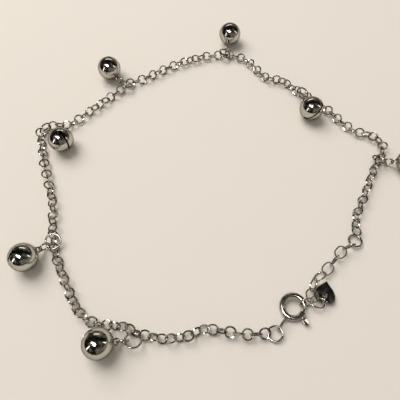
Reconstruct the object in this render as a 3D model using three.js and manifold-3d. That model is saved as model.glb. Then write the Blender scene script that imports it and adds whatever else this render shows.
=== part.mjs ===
// Payal anklet in silver: a rolo chain with seven small round bells, a spring-ring clasp,
// and a short tail of oval links that ends in a heart-shaped tag.  Millimetres, +Z up.
// The anklet lies on a flat surface at z = 0.  The chain's own links are finer than a separate
// solid, so each stretch of chain between two bells is one eight-sided tube along its true route.
import * as THREE from 'three';
import { mergeVertices } from 'three/addons/utils/BufferGeometryUtils.js';
import Module from 'manifold-3d';

// ---- Chain -------------------------------------------------------------------------------
const CHAIN_WIDTH = 2.0;             // across the flats of the tube that holds the rolo links
const CHAIN_SIDES = 8;
const CHAIN_HEIGHT = CHAIN_WIDTH / 2;     // centre line, with the lowest flat on the surface
const CHAIN_STEP = 2 * CHAIN_WIDTH;       // length of one straight piece of the tube
const BELL_GAP = 1.6;                // each stretch stops this far from the link that holds a bell
const RING_GAP = 0.75;               // and this far from the ring at either end of the chain
const TAIL_GAP = 3.4;                // the tail's last link, which holds the clasped one

// ---- Bell: a hollow ball with a slit across the bottom and a loop on top --------------------
const BELL_RADIUS = 3.2;
const BELL_WALL = 0.35;
const SLIT_WIDTH = 0.45;
const SLIT_HALF_ANGLE = 60;          // degrees from the bottom to the round hole at either end
const SLIT_HOLE = 1.1;
const EYE_RADIUS = 0.65;             // centre line of the loop's wire
const EYE_WIRE = 0.4;
const EYE_HEIGHT = BELL_RADIUS + 0.45;    // loop's centre above the ball's centre

// ---- Round rings -----------------------------------------------------------------------------
const JUMP_RING = { diameter: 3.8, wire: 0.45 };    // through a chain link, one for each bell
const BELL_LINK = { diameter: 2.8, wire: 0.4 };     // between the jump ring and the bell's loop
const END_RING = { diameter: 3.5, wire: 0.45 };     // at either end of the chain
const TAG_RING = { diameter: 2.4, wire: 0.35 };
const TAIL_LINK = { diameter: 2.7, wire: 0.34, stretch: 0.7 };
const TAIL_WIDTH = 1.8;              // across the flats of the tube that holds the tail's links
const JUMP_RING_RISE = 25;           // degrees, the jump ring climbs over the next chain link
const BELL_LINK_HEIGHT = 1.6;
const PLAY = 0.1;                    // air between two wires that hang in one another

// ---- Spring-ring clasp -----------------------------------------------------------------------
const CLASP = { x: 13.95, y: -37.3, z: 1.03 };
const CLASP_LIFT = 9;                // degrees, one side of the clasp lies on the tail link
const CLASP_LIFT_HEADING = 60;
const CLASP_DIAMETER = 6;
const CLASP_TUBE = 1.25;
const CLASP_BORE = 0.86;
const CLASP_OPENING = { from: -30, to: 6 };         // degrees round the ring
const TONGUE = { from: -66, to: 11, width: 0.52 };
const KNOB_ANGLE = -54;
const KNOB_TRAVEL = 38;
const KNOB_REACH = 1.5;              // knob's centre beyond the tube's centre line
const KNOB = { length: 1.5, width: 0.9, height: 0.66 };
const SLOT_HEIGHT = 0.66;
const CLASP_LOOP = { diameter: 2.0, wire: 0.45, stretch: 1.4 };
const CLASP_LOOP_PLACE = { heading: -127.5, reach: 4.55, height: 1.02 };
const PIN_RADIUS = 0.2;

// ---- Heart tag -------------------------------------------------------------------------------
const HEART = { width: 4.6, height: 4.9, thickness: 0.5, hole: 1.2, notch: 0.1, rim: 0.35 };

// ---- Layout: where the chain lies ------------------------------------------------------------
const LAYOUT_CENTRE = { x: 0.34, y: -0.04 };    // moved to the origin
// One row for each bell: the chain link that carries it, the way the bell points from there,
// the way its jump ring leans from that heading, and how far the bell is turned on its axis.
const bells = [
  { x: -19.2, y: -42.9, heading: -172, lean: 60, turn: 20 },
  { x: -39.6, y: -24.0, heading: -140, lean: -118, turn: 75 },
  { x: -48.9, y: 9.0, heading: -39, lean: 65, turn: 100 },
  { x: -26.2, y: 26.8, heading: 136, lean: 90, turn: 60 },
  { x: 3.0, y: 38.2, heading: 76, lean: 105, turn: 10 },
  { x: 24.3, y: 21.6, heading: -78, lean: -135, turn: 140 },
  { x: 40.9, y: 1.2, heading: -12, lean: -112, turn: 30 },
];
// Points that the chain passes through on its way from one bell to the next.
const via = [
  [[3.8, -43.1], [-1.5, -42.4], [-5.4, -42.0], [-8.6, -43.4], [-13.5, -43.9], [-16.4, -43.4]],
  [[-22.0, -41.5], [-28.2, -40.8], [-32.2, -38.0], [-35.4, -32.6], [-37.8, -28.2]],
  [[-40.8, -19.0], [-41.9, -12.6], [-44.2, -6.0], [-46.6, 0.8]],
  [[-45.8, 11.2], [-41.2, 11.8], [-37.6, 15.2], [-31.2, 21.6]],
  [[-21.4, 29.0], [-14.8, 33.2], [-8.2, 36.2], [-2.4, 37.9]],
  [[7.6, 36.2], [10.6, 32.2], [13.6, 28.6], [17.6, 27.6], [21.4, 24.0]],
  [[29.2, 17.0], [32.6, 12.4], [36.0, 9.2], [39.8, 7.8], [42.0, 4.8]],
  [[38.2, -2.8], [35.8, -7.6], [33.4, -12.2], [31.2, -16.4]],
];
const tailVia = [[26.4, -24.8], [23.2, -28.4], [19.8, -31.4], [18.3, -33.8]];
const TAIL_RING = { x: 30.2, y: -22.0, z: 0.6 };
const TAIL_RING_NORMAL = new THREE.Vector3(0.08, 0.1, 1);
const END_RING_HEIGHT = 0.76;
const END_RING_SINK = 9;              // degrees, from the clasp's loop down to the surface
// Where on its ring each chain begins or ends, in degrees.
const CHAIN_ENDS = { start: 180, finish: 75, tail: -127 };
// The two oval links at the tail's end: headings and tilt in degrees.
const TAIL_LINK_HEIGHT = 1.36;
const CLASPED_LINK = { heading: 15, tilt: 27, offset: 0.62 };
const LAST_LINK = { heading: -16, normal: new THREE.Vector3(0.05, 0, 1) };
const TAG_RING_PLACE = { heading: 64, height: 1.24 };
const TAG_PLACE = { heading: 74, height: 0.75, offset: 0.9, sink: 3 };

const up = new THREE.Vector3(0, 0, 1);
const radians = THREE.MathUtils.degToRad;
const group = new THREE.Group();
group.position.set(-LAYOUT_CENTRE.x, -LAYOUT_CENTRE.y, 0);
const wasm = await Module();
wasm.setup();

function silver(color, roughness) {
  return new THREE.MeshStandardMaterial({ color, roughness, metalness: 1 });
}

function addMesh(name, geometry, material) {
  const mesh = new THREE.Mesh(geometry, material);
  mesh.name = name;
  group.add(mesh);
  return mesh;
}

function heading(degrees) {
  return new THREE.Vector3(Math.cos(radians(degrees)), Math.sin(radians(degrees)), 0);
}

// A frame whose X axis is `along`, whose Z axis is `normal`, with its origin at `centre`.
function frameAt(centre, along, normal) {
  const side = new THREE.Vector3().crossVectors(normal, along).normalize();
  const matrix = new THREE.Matrix4().makeBasis(along.clone().normalize(), side, normal.clone().normalize());
  return matrix.setPosition(centre);
}

// ---- Joining and cutting ---------------------------------------------------------------------
function toSolid(geometry) {
  const plain = geometry.clone();
  plain.deleteAttribute('normal');
  plain.deleteAttribute('uv');
  const merged = mergeVertices(plain, 1e-4);
  const mesh = new wasm.Mesh({
    numProp: 3,
    vertProperties: new Float32Array(merged.attributes.position.array),
    triVerts: new Uint32Array(merged.index.array),
  });
  return new wasm.Manifold(mesh);
}

function toGeometry(solid) {
  const mesh = solid.getMesh();
  const geometry = new THREE.BufferGeometry();
  geometry.setAttribute('position', new THREE.BufferAttribute(new Float32Array(mesh.vertProperties), 3));
  geometry.setIndex(new THREE.BufferAttribute(new Uint32Array(mesh.triVerts), 1));
  geometry.computeVertexNormals();
  return geometry;
}

// ---- Tubes and rings -------------------------------------------------------------------------
// Part of another curve, cut short by a length at each end.
class Stretch extends THREE.Curve {
  constructor(curve, startGap, endGap) {
    super();
    this.curve = curve;
    const length = curve.getLength();
    this.start = startGap / length;
    this.end = 1 - endGap / length;
  }

  getPoint(t, target) {
    return this.curve.getPointAt(THREE.MathUtils.lerp(this.start, this.end, t), target);
  }
}

// An arc round the Z axis, from one angle to another.
class Arc extends THREE.Curve {
  constructor(radius, from, to) {
    super();
    this.radius = radius;
    this.from = from;
    this.to = to;
  }

  getPoint(t, target = new THREE.Vector3()) {
    return target.copy(heading(THREE.MathUtils.lerp(this.from, this.to, t))).multiplyScalar(this.radius);
  }
}

// A regular section with a flat side down; `width` is measured across its flats.
function section(width, sides) {
  const corner = width / 2 / Math.cos(Math.PI / sides);
  const points = [];
  for (let i = 0; i < sides; i++) {
    const angle = (i + 0.5) * 2 * Math.PI / sides;
    points.push(new THREE.Vector2(corner * Math.cos(angle), corner * Math.sin(angle)));
  }
  return points;
}

function tube(shape, path, steps) {
  return new THREE.ExtrudeGeometry(shape, { steps, extrudePath: path });
}

// A wire ring in the XY plane; `stretch` draws a round ring out along X to an oval.
function ringGeometry({ diameter, wire, stretch = 0 }, around = 12, sides = 6) {
  const geometry = new THREE.TorusGeometry((diameter - wire) / 2, wire / 2, sides, around);
  const position = geometry.attributes.position;
  for (let i = 0; i < position.count; i++) {
    const x = position.getX(i);
    const y = position.getY(i);
    const reach = Math.hypot(x, y);
    position.setX(i, x + stretch / 2 * x / reach);
  }
  return geometry;
}

function addRing(name, kind, centre, along, normal) {
  const geometry = ringGeometry(kind);
  geometry.applyMatrix4(frameAt(centre, along, normal));
  addMesh(name, geometry, silver(0xb8b4ac, 0.2));
}

// ---- Chain -----------------------------------------------------------------------------------
function chainCurve(points, height) {
  const path = points.map(([x, y]) => new THREE.Vector3(x, y, height));
  return new THREE.CatmullRomCurve3(path, false, 'catmullrom', 0.5);
}

function addChain(name, points, startGap, endGap, width = CHAIN_WIDTH) {
  const path = new Stretch(chainCurve(points, width / 2), startGap, endGap);
  const steps = Math.max(2, Math.round(path.getLength() / CHAIN_STEP));
  const geometry = tube(new THREE.Shape(section(width, CHAIN_SIDES)), path, steps);
  addMesh(name, geometry, silver(0x8c8882, 0.3));
}

// ---- Bells -----------------------------------------------------------------------------------
function ball(radius, around, rows) {
  const geometry = new THREE.SphereGeometry(radius, around, rows);
  return geometry.rotateX(Math.PI / 2);
}

// The bell's axis is Z, its loop is at the top in the XZ plane, and `turn` swings the slit.
function bellGeometry(turn) {
  let shell = toSolid(ball(BELL_RADIUS, 18, 9)).subtract(toSolid(ball(BELL_RADIUS - BELL_WALL, 10, 6)));
  const slitReach = BELL_RADIUS * Math.sin(radians(SLIT_HALF_ANGLE));
  const slitTop = -BELL_RADIUS * Math.cos(radians(SLIT_HALF_ANGLE));
  const slitDepth = BELL_RADIUS + slitTop + 1;
  const slit = new THREE.BoxGeometry(2 * slitReach, SLIT_WIDTH, slitDepth);
  slit.translate(0, 0, slitTop - slitDepth / 2);
  shell = shell.subtract(toSolid(slit.rotateZ(radians(turn))));
  for (const side of [-1, 1]) {
    const hole = new THREE.CylinderGeometry(SLIT_HOLE / 2, SLIT_HOLE / 2, 4 * BELL_WALL, 6);
    hole.translate(0, -BELL_RADIUS + BELL_WALL, 0).rotateX(Math.PI / 2);
    hole.rotateY(side * radians(SLIT_HALF_ANGLE)).rotateZ(radians(turn));
    shell = shell.subtract(toSolid(hole));
  }
  const eye = ringGeometry({ diameter: 2 * EYE_RADIUS + EYE_WIRE, wire: EYE_WIRE }, 10, 5);
  eye.rotateX(Math.PI / 2).translate(0, 0, EYE_HEIGHT);
  return toGeometry(shell.add(toSolid(eye)));
}

// A bell with its two rings.  The jump ring goes through the chain link at `place` and leans
// over its neighbour; the small link stands upright in it and in the bell's loop.
function addBell(number, place) {
  const outward = heading(place.heading);
  const leanFlat = heading(place.heading + place.lean);
  const rise = radians(JUMP_RING_RISE);
  const lean = leanFlat.multiplyScalar(Math.cos(rise)).addScaledVector(up, Math.sin(rise));
  const ringAcross = new THREE.Vector3().crossVectors(up, lean).normalize();
  const ringNormal = new THREE.Vector3().crossVectors(lean, ringAcross);
  const ringRadius = (JUMP_RING.diameter - JUMP_RING.wire) / 2;
  const threaded = new THREE.Vector3(place.x, place.y, CHAIN_HEIGHT);
  const ringCentre = threaded.clone().addScaledVector(lean, ringRadius);
  addRing(`bell_ring_${number}`, JUMP_RING, ringCentre, lean, ringNormal);

  const toBell = outward.clone().projectOnPlane(ringNormal).normalize();
  const linkRadius = (BELL_LINK.diameter - BELL_LINK.wire) / 2;
  const held = ringCentre.clone().addScaledVector(toBell, ringRadius);
  const hang = linkRadius - (JUMP_RING.wire + BELL_LINK.wire) / 2 - PLAY;
  const drop = Math.asin((BELL_LINK_HEIGHT - held.z) / hang);
  const linkCentre = held.clone().addScaledVector(outward, hang * Math.cos(drop));
  linkCentre.z = BELL_LINK_HEIGHT;
  const linkNormal = new THREE.Vector3().crossVectors(outward, up);
  addRing(`bell_link_${number}`, BELL_LINK, linkCentre, outward, linkNormal);

  const reach = linkRadius - (EYE_WIRE + BELL_LINK.wire) / 2 - PLAY + EYE_RADIUS + EYE_HEIGHT;
  const tilt = Math.asin((BELL_RADIUS - BELL_LINK_HEIGHT) / reach);
  const centre = linkCentre.clone().addScaledVector(outward, reach * Math.cos(tilt));
  centre.z = BELL_RADIUS;
  const axis = outward.clone().multiplyScalar(-Math.cos(tilt)).addScaledVector(up, -Math.sin(tilt));
  const geometry = bellGeometry(place.turn);
  geometry.applyMatrix4(frameAt(centre, new THREE.Vector3().crossVectors(up, outward), axis));
  addMesh(`bell_${number}`, geometry, silver(0xc4c1ba, 0.08));
}

// ---- Clasp -----------------------------------------------------------------------------------
const claspRadius = (CLASP_DIAMETER - CLASP_TUBE) / 2;
const claspCentre = new THREE.Vector3(CLASP.x, CLASP.y, CLASP.z);
const liftAxis = new THREE.Vector3().crossVectors(heading(CLASP_LIFT_HEADING), up);
const claspTurn = new THREE.Quaternion().setFromAxisAngle(liftAxis, radians(CLASP_LIFT));
const claspFrame = new THREE.Matrix4().makeRotationFromQuaternion(claspTurn).setPosition(claspCentre);

function claspBody() {
  const wall = new THREE.Shape(section(CLASP_TUBE, 8));
  wall.holes.push(new THREE.Path(section(CLASP_BORE, 8)));
  const sweep = new Arc(claspRadius, CLASP_OPENING.to, CLASP_OPENING.from + 360);
  let body = toSolid(tube(wall, sweep, 20));
  const slotDepth = CLASP_TUBE / 2;
  const slotShape = new THREE.Shape([
    new THREE.Vector2(-SLOT_HEIGHT / 2, -slotDepth / 2),
    new THREE.Vector2(SLOT_HEIGHT / 2, -slotDepth / 2),
    new THREE.Vector2(SLOT_HEIGHT / 2, slotDepth / 2),
    new THREE.Vector2(-SLOT_HEIGHT / 2, slotDepth / 2),
  ]);
  const slotMargin = 8;
  const slotPath = new Arc(
    claspRadius + CLASP_TUBE / 2,
    KNOB_ANGLE - KNOB_TRAVEL - slotMargin,
    KNOB_ANGLE + slotMargin,
  );
  body = body.subtract(toSolid(tube(slotShape, slotPath, 8)));
  const outward = heading(CLASP_LOOP_PLACE.heading);
  const loopCentre = claspCentre.clone().setZ(CLASP_LOOP_PLACE.height);
  loopCentre.addScaledVector(outward, CLASP_LOOP_PLACE.reach);
  const loopFrame = frameAt(loopCentre, outward, heading(CLASP_LOOP_PLACE.heading + 90));
  const loop = ringGeometry(CLASP_LOOP).applyMatrix4(loopFrame);
  loop.applyMatrix4(claspFrame.clone().invert());
  return toGeometry(body.add(toSolid(loop)));
}

function claspTrigger() {
  const sweep = new Arc(claspRadius, TONGUE.from, TONGUE.to);
  const tongue = tube(new THREE.Shape(section(TONGUE.width, 6)), sweep, 8);
  const pin = new THREE.CylinderGeometry(PIN_RADIUS, PIN_RADIUS, KNOB_REACH, 8);
  pin.rotateZ(-Math.PI / 2).translate(claspRadius + KNOB_REACH / 2, 0, 0).rotateZ(radians(KNOB_ANGLE));
  const knob = ball(0.5, 10, 6).scale(KNOB.length, KNOB.width, KNOB.height);
  knob.translate(claspRadius + KNOB_REACH, 0, 0).rotateZ(radians(KNOB_ANGLE));
  return toGeometry(toSolid(tongue).add(toSolid(pin)).add(toSolid(knob)));
}

function addClasp() {
  const body = addMesh('clasp_body', claspBody(), silver(0xc2bfb8, 0.1));
  const trigger = addMesh('clasp_trigger', claspTrigger(), silver(0xcdcac4, 0.12));
  for (const mesh of [body, trigger]) {
    mesh.position.copy(claspCentre);
    mesh.quaternion.copy(claspTurn);
  }
}

// ---- End rings, tail and tag -----------------------------------------------------------------
const endRadius = (END_RING.diameter - END_RING.wire) / 2;

function addEndRings() {
  const loopReach = CLASP_LOOP_PLACE.reach + (CLASP_LOOP.diameter - CLASP_LOOP.wire + CLASP_LOOP.stretch) / 2;
  const held = loopReach - (CLASP_LOOP.wire + END_RING.wire) / 2 - PLAY;
  const outward = heading(CLASP_LOOP_PLACE.heading);
  const sink = radians(END_RING_SINK);
  const along = outward.clone().multiplyScalar(Math.cos(sink)).addScaledVector(up, -Math.sin(sink));
  const centre = claspCentre.clone().setZ(END_RING_HEIGHT).addScaledVector(outward, held + endRadius);
  const normal = new THREE.Vector3().crossVectors(along, heading(CLASP_LOOP_PLACE.heading + 90));
  addRing('end_ring_clasp', END_RING, centre, along, normal);
  const tailCentre = new THREE.Vector3(TAIL_RING.x, TAIL_RING.y, TAIL_RING.z);
  addRing('end_ring_tail', END_RING, tailCentre, heading(CHAIN_ENDS.finish), TAIL_RING_NORMAL);
  return { centre, tailCentre };
}

function heartGeometry() {
  const w = HEART.width / 2;
  const h = HEART.height;
  const holeCentre = HEART.notch * h + HEART.rim + HEART.hole / 2;
  const outline = new THREE.Shape();
  outline.moveTo(0, h);
  outline.bezierCurveTo(-0.28 * w, 0.8 * h, -w, 0.62 * h, -w, 0.26 * h);
  outline.bezierCurveTo(-w, -0.06 * h, -0.22 * w, -0.08 * h, 0, HEART.notch * h);
  outline.bezierCurveTo(0.22 * w, -0.08 * h, w, -0.06 * h, w, 0.26 * h);
  outline.bezierCurveTo(w, 0.62 * h, 0.28 * w, 0.8 * h, 0, h);
  const hole = new THREE.Path();
  hole.absarc(0, holeCentre, HEART.hole / 2, 0, 2 * Math.PI, true);
  outline.holes.push(hole);
  const settings = { depth: HEART.thickness, bevelEnabled: false, curveSegments: 6 };
  const geometry = new THREE.ExtrudeGeometry(outline, settings);
  return geometry.translate(0, -holeCentre, -HEART.thickness / 2);
}

function addTail() {
  const linkHalf = (TAIL_LINK.diameter - TAIL_LINK.wire + TAIL_LINK.stretch) / 2;
  const across = heading(CLASPED_LINK.heading);
  const tilt = radians(CLASPED_LINK.tilt);
  const upright = heading(CLASPED_LINK.heading + 90).multiplyScalar(Math.cos(tilt));
  const claspedNormal = upright.addScaledVector(up, -Math.sin(tilt));
  const clasped = claspCentre.clone().setZ(TAIL_LINK_HEIGHT);
  clasped.addScaledVector(across, claspRadius + CLASPED_LINK.offset);
  addRing('tail_link_clasped', TAIL_LINK, clasped, across, claspedNormal);

  const lastWay = heading(LAST_LINK.heading);
  const grip = TAIL_LINK.wire + 2 * PLAY;
  const claspedEnd = clasped.clone().addScaledVector(across, linkHalf);
  const last = claspedEnd.clone().addScaledVector(lastWay, linkHalf - grip).setZ(TAIL_LINK_HEIGHT);
  addRing('tail_link_last', TAIL_LINK, last, lastWay, LAST_LINK.normal);

  const tagWay = heading(TAG_RING_PLACE.heading);
  const tagRadius = (TAG_RING.diameter - TAG_RING.wire) / 2;
  const lastEnd = last.clone().addScaledVector(lastWay, linkHalf - grip);
  const tagRing = lastEnd.clone().addScaledVector(tagWay, tagRadius).setZ(TAG_RING_PLACE.height);
  addRing('tag_ring', TAG_RING, tagRing, tagWay, new THREE.Vector3().crossVectors(tagWay, up));

  const heart = heartGeometry();
  const hole = tagRing.clone().addScaledVector(tagWay, TAG_PLACE.offset).setZ(TAG_PLACE.height);
  const sink = radians(TAG_PLACE.sink);
  const level = heading(TAG_PLACE.heading).multiplyScalar(Math.cos(sink));
  const point = level.addScaledVector(up, -Math.sin(sink));
  const side = new THREE.Vector3().crossVectors(point, up).normalize();
  heart.applyMatrix4(frameAt(hole, side, new THREE.Vector3().crossVectors(side, point)));
  addMesh('heart_tag', heart, silver(0xb5b2ab, 0.06));
  return claspedEnd;
}

function build() {
  bells.forEach((place, i) => addBell(i + 1, place));
  addClasp();
  const { centre, tailCentre } = addEndRings();
  const start = centre.clone().addScaledVector(heading(CHAIN_ENDS.start), endRadius);
  const finish = tailCentre.clone().addScaledVector(heading(CHAIN_ENDS.finish), endRadius);
  const stops = [[start.x, start.y], ...bells.map(({ x, y }) => [x, y]), [finish.x, finish.y]];
  via.forEach((points, i) => {
    const startGap = i === 0 ? RING_GAP : BELL_GAP;
    const endGap = i === via.length - 1 ? RING_GAP : BELL_GAP;
    addChain(`chain_run_${i + 1}`, [stops[i], ...points, stops[i + 1]], startGap, endGap);
  });
  const tailStart = tailCentre.clone().addScaledVector(heading(CHAIN_ENDS.tail), endRadius);
  const tailEnd = addTail();
  const tailStops = [[tailStart.x, tailStart.y], ...tailVia, [tailEnd.x, tailEnd.y]];
  addChain('tail_chain', tailStops, RING_GAP, TAIL_GAP, TAIL_WIDTH);
}

build();

export default group;
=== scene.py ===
import math
import random

import bmesh
import bpy
from bpy.props import FloatProperty, FloatVectorProperty, IntProperty, PointerProperty
from mathutils import Matrix, Vector


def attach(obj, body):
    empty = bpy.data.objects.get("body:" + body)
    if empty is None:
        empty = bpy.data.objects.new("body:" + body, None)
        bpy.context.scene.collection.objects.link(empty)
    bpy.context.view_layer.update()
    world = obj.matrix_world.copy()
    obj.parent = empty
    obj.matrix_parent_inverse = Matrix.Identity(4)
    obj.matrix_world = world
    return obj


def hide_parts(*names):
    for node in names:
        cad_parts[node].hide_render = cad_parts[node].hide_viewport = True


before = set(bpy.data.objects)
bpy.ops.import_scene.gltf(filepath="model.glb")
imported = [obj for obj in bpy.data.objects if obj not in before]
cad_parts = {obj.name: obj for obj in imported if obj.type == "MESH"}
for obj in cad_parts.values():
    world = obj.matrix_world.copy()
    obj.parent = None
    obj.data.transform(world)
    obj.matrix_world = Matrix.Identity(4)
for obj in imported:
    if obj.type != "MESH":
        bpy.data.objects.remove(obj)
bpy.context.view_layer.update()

bl_info = {
    "name": "Payal anklet",
    "version": (1, 0, 0),
    "blender": (4, 5, 0),
    "location": "3D View > Sidebar > Anklet",
    "description": "Builds a silver rolo-chain anklet with bells, a spring-ring clasp and a heart tag",
    "category": "Add Mesh",
}

MM = 0.001
UP = Vector((0, 0, 1))
BODY = "anklet"
TRIGGER_BODY = "trigger"

# ---- Layout, in millimetres: the same route and places as the solids ------------------------
LAYOUT_CENTRE = Vector((0.34, -0.04, 0))
CHAIN_HEIGHT = 1.0
# Each bell: the chain link that carries it, the way the bell points, the way its jump ring leans
# from that heading, and how far the bell is turned about its own axis.
BELLS = [
    {"x": -19.2, "y": -42.9, "heading": -172, "lean": 60, "turn": 20},
    {"x": -39.6, "y": -24.0, "heading": -140, "lean": -118, "turn": 75},
    {"x": -48.9, "y": 9.0, "heading": -39, "lean": 65, "turn": 100},
    {"x": -26.2, "y": 26.8, "heading": 136, "lean": 90, "turn": 60},
    {"x": 3.0, "y": 38.2, "heading": 76, "lean": 105, "turn": 10},
    {"x": 24.3, "y": 21.6, "heading": -78, "lean": -135, "turn": 140},
    {"x": 40.9, "y": 1.2, "heading": -12, "lean": -112, "turn": 30},
]
VIA = [
    [(3.8, -43.1), (-1.5, -42.4), (-5.4, -42.0), (-8.6, -43.4), (-13.5, -43.9), (-16.4, -43.4)],
    [(-22.0, -41.5), (-28.2, -40.8), (-32.2, -38.0), (-35.4, -32.6), (-37.8, -28.2)],
    [(-40.8, -19.0), (-41.9, -12.6), (-44.2, -6.0), (-46.6, 0.8)],
    [(-45.8, 11.2), (-41.2, 11.8), (-37.6, 15.2), (-31.2, 21.6)],
    [(-21.4, 29.0), (-14.8, 33.2), (-8.2, 36.2), (-2.4, 37.9)],
    [(7.6, 36.2), (10.6, 32.2), (13.6, 28.6), (17.6, 27.6), (21.4, 24.0)],
    [(29.2, 17.0), (32.6, 12.4), (36.0, 9.2), (39.8, 7.8), (42.0, 4.8)],
    [(38.2, -2.8), (35.8, -7.6), (33.4, -12.2), (31.2, -16.4)],
]
TAIL_VIA = [(26.4, -24.8), (23.2, -28.4), (19.8, -31.4), (18.3, -33.8)]
JUMP_RING_RISE = 25
BELL_LINK_HEIGHT = 1.6
PLAY = 0.1

# ---- Clasp's own frame -----------------------------------------------------------------------
CLASP_CENTRE = Vector((13.95, -37.3, 1.03))
CLASP_LIFT = 9
CLASP_LIFT_HEADING = 60
CLASP_OPENING = (-30, 6)
TONGUE_SPAN = (-66, 11)
KNOB_ANGLE = -54
KNOB_TRAVEL = 38
SLOT_MARGIN = 8
LOOP_HEADING = -127.5
LOOP_REACH = 4.55
LOOP_HEIGHT = 1.02
LOOP_STRETCH = 1.4

# ---- Rings at the ends and the tail's links --------------------------------------------------
END_RING_HEIGHT = 0.76
END_RING_SINK = 9
CHAIN_START_HEADING = 180
TAIL_RING_CENTRE = Vector((30.2, -22.0, 0.6))
TAIL_RING_NORMAL = Vector((0.08, 0.1, 1))
CHAIN_FINISH_HEADING = 75
TAIL_START_HEADING = -127
TAIL_LINK_HEIGHT = 1.36
CLASPED_HEADING = 15
CLASPED_TILT = 27
CLASPED_OFFSET = 0.62
LAST_LINK_HEADING = -16
LAST_LINK_NORMAL = Vector((0.05, 0, 1))
TAG_HEADING = 64
TAG_RING_HEIGHT = 1.24

# ---- Small details, in millimetres and degrees -----------------------------------------------
SMOOTH_ANGLE = 40
JUMP_CUT_TURN = 70
END_CUT_TURN = 110
TAG_CUT_TURN = 90
CUT_END_ROUNDING = 0.03
SLIT_CUTTER_EXTRA = 1
TUBE_EDGE_ROUNDING = 0.04
PIN_RADIUS = 0.2
KNOB_RIM = 0.16
KNOB_STEP = 0.08
KNOB_DISH = 0.12
KNOB_EDGE_ROUNDING = 0.07
WELD_DISTANCE = 0.001

# ---- The twist of the chain's pattern: two waves, the second one slower ----------------------
FIRST_WAVE = 0.6
SECOND_WAVE = 0.4
SECOND_WAVE_RATE = 0.37
SECOND_WAVE_START = 1.3

# ---- Finishes: the roughness setting and its multiple, the dulling and the scratches ---------
FINISHES = {
    "bell_polished": {"setting": "bell_polish", "multiple": 1.0, "wear": 0.25, "scratch": 0.10},
    "chain_worn": {"setting": "wire_polish", "multiple": 1.0, "wear": 0.75, "scratch": 0.35},
    "ring_drawn": {"setting": "wire_polish", "multiple": 0.8, "wear": 0.5, "scratch": 0.30},
    "clasp_polished": {"setting": "bell_polish", "multiple": 1.4, "wear": 0.3, "scratch": 0.15},
    "tag_flat": {"setting": "bell_polish", "multiple": 1.5, "wear": 0.4, "scratch": 0.2},
}
INSIDE_DULL = (0.05, 0.045, 0.04)
INSIDE_ROUGHNESS = 0.45
INSIDE_WEAR = 0.8
INSIDE_SCRATCH = 0.5
SCRATCH_DEPTH = 0.00002

# ---- Stage, in metres ------------------------------------------------------------------------
WARM = (1, 0.97, 0.93)
KEY_PLACE = (-0.45, 0.5, 0.9)
KEY_SIZE = (0.9, 0.9)
# The lights that the metal shows: each one's place, size and share of the glint power.
GLINTS = {
    "window": {"place": (-0.10, -0.16, 0.47), "size": (0.17, 0.12), "share": 1.0},
    "window_side": {"place": (-0.24, -0.06, 0.43), "size": (0.04, 0.08), "share": 0.12},
    "card_left": {"place": (-0.40, -0.26, 0.20), "size": (0.05, 0.30), "share": 0.15},
    "card_right": {"place": (0.40, -0.02, 0.22), "size": (0.04, 0.22), "share": 0.07},
    "card_far": {"place": (-0.06, 0.40, 0.26), "size": (0.30, 0.05), "share": 0.09},
}
CAMERA_PLACE = (-0.00639, -0.05656, 0.0867)
CAMERA_TARGET = Vector((-0.00639, -0.01086, 0))
CAMERA_NEAREST = 0.001


# ---- Settings --------------------------------------------------------------------------------
def length(name, description, millimetres):
    return FloatProperty(name=name, description=description, default=millimetres * MM, min=0.0,
                         unit="LENGTH", precision=5)


def colour(name, description, default):
    return FloatVectorProperty(name=name, description=description, default=default, size=3,
                               min=0.0, max=1.0, subtype="COLOR")


def factor(name, description, default):
    return FloatProperty(name=name, description=description, default=default, min=0.0, max=1.0,
                         subtype="FACTOR")


class AnkletChainSettings(bpy.types.PropertyGroup):
    link_diameter: length("Link diameter", "Outside diameter of a round chain link", 2.7)
    link_wire: length("Link wire", "Thickness of a round chain link's wire", 0.42)
    tail_diameter: length("Tail link width", "Outside width of an oval tail link", 2.7)
    tail_wire: length("Tail link wire", "Thickness of an oval tail link's wire", 0.34)
    tail_stretch: length("Tail link stretch", "How much longer than wide a tail link is", 0.7)
    roll: FloatProperty(name="Roll", description="How far each link is rolled to either side",
                        default=math.radians(45), subtype="ANGLE")
    looseness: FloatProperty(name="Looseness", default=math.radians(6), subtype="ANGLE",
                             description="Most that a link turns out of the pattern")
    drift: FloatProperty(name="Drift", description="Most that the pattern twists along the chain",
                         default=math.radians(36), subtype="ANGLE")
    drift_length: length("Drift length", "Length of chain over which the twist comes and goes", 21)
    seed: IntProperty(name="Seed", description="Start of the links' small random turns", default=4)


class AnkletRingSettings(bpy.types.PropertyGroup):
    jump_diameter: length("Jump ring", "Outside diameter of a bell's jump ring", 3.8)
    jump_wire: length("Jump ring wire", "Thickness of a jump ring's wire", 0.45)
    link_diameter: length("Bell link", "Outside diameter of the ring between jump ring and bell", 2.8)
    link_wire: length("Bell link wire", "Thickness of the bell link's wire", 0.4)
    end_diameter: length("End ring", "Outside diameter of the rings at the chain's ends", 3.5)
    end_wire: length("End ring wire", "Thickness of an end ring's wire", 0.45)
    tag_diameter: length("Tag ring", "Outside diameter of the heart tag's ring", 2.4)
    tag_wire: length("Tag ring wire", "Thickness of the tag ring's wire", 0.35)
    cut: FloatProperty(name="Cut", description="Opening where a jump ring's ends meet",
                       default=math.radians(2), subtype="ANGLE")


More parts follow.
